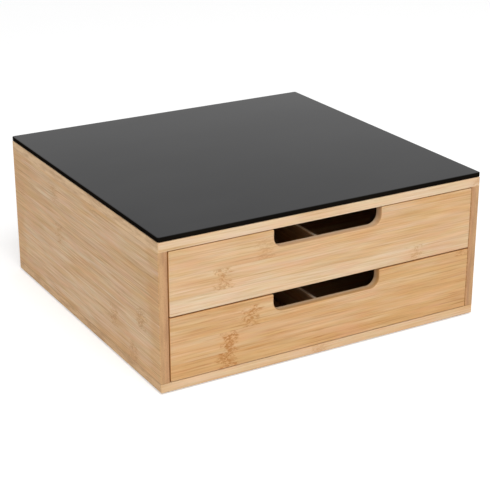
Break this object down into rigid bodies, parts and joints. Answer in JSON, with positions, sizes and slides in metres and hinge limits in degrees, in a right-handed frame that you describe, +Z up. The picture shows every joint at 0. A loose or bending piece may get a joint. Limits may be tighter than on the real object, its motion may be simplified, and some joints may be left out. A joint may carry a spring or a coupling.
{
  "type": "coffee capsule drawer",
  "caption": "Flat bamboo box with stacked inset drawers for coffee capsules, wide finger slots in the drawer fronts, a divider in each drawer and a black glass top for a coffee machine.",
  "frame": {"origin": "on the table, under the middle of the box", "axes": "+X across the width, -Y out of the drawer fronts, +Z up"},
  "size_m": [0.31, 0.3, 0.1334],
  "materials": {
    "bamboo_board": "clear satin lacquer on laminated bamboo",
    "bamboo_front": "clear satin lacquer on laminated bamboo, grain along the width",
    "bamboo_inner": "sanded bamboo",
    "bamboo_peg": "turned bamboo",
    "black_glass": "polished black glass, opaque",
    "clear_pad": "clear soft bonding pad",
    "screw_steel": "zinc plated steel",
    "foot_rubber": "dark anti-slip foam"
  },
  "bodies": {
    "carcass": {"base_panel": "bamboo_board", "top_panel": "bamboo_board", "left_side_panel": "bamboo_board", "right_side_panel": "bamboo_board", "back_panel": "bamboo_inner", "left_runner": "bamboo_inner", "right_runner": "bamboo_inner", "glass_top": "black_glass", "bonding_pads": "clear_pad", "top_dowels": "bamboo_peg", "base_screws": "screw_steel", "foot_pads": "foot_rubber"},
    "upper_drawer": {"upper_drawer_front": "bamboo_front", "upper_drawer_left_wall": "bamboo_inner", "upper_drawer_right_wall": "bamboo_inner", "upper_drawer_back_wall": "bamboo_inner", "upper_drawer_bottom": "bamboo_inner", "upper_drawer_divider": "bamboo_inner", "upper_drawer_front_pins": "bamboo_peg", "upper_drawer_rear_pins": "bamboo_peg"},
    "lower_drawer": {"lower_drawer_front": "bamboo_front", "lower_drawer_left_wall": "bamboo_inner", "lower_drawer_right_wall": "bamboo_inner", "lower_drawer_back_wall": "bamboo_inner", "lower_drawer_bottom": "bamboo_inner", "lower_drawer_divider": "bamboo_inner", "lower_drawer_front_pins": "bamboo_peg", "lower_drawer_rear_pins": "bamboo_peg"}
  },
  "joints": [
    {"name": "upper_drawer_slide", "type": "slide", "parent": "carcass", "child": "upper_drawer", "axis": [0, -1, 0], "range_m": [0, 0.2]},
    {"name": "lower_drawer_slide", "type": "slide", "parent": "carcass", "child": "lower_drawer", "axis": [0, -1, 0], "range_m": [0, 0.2]}
  ]
}
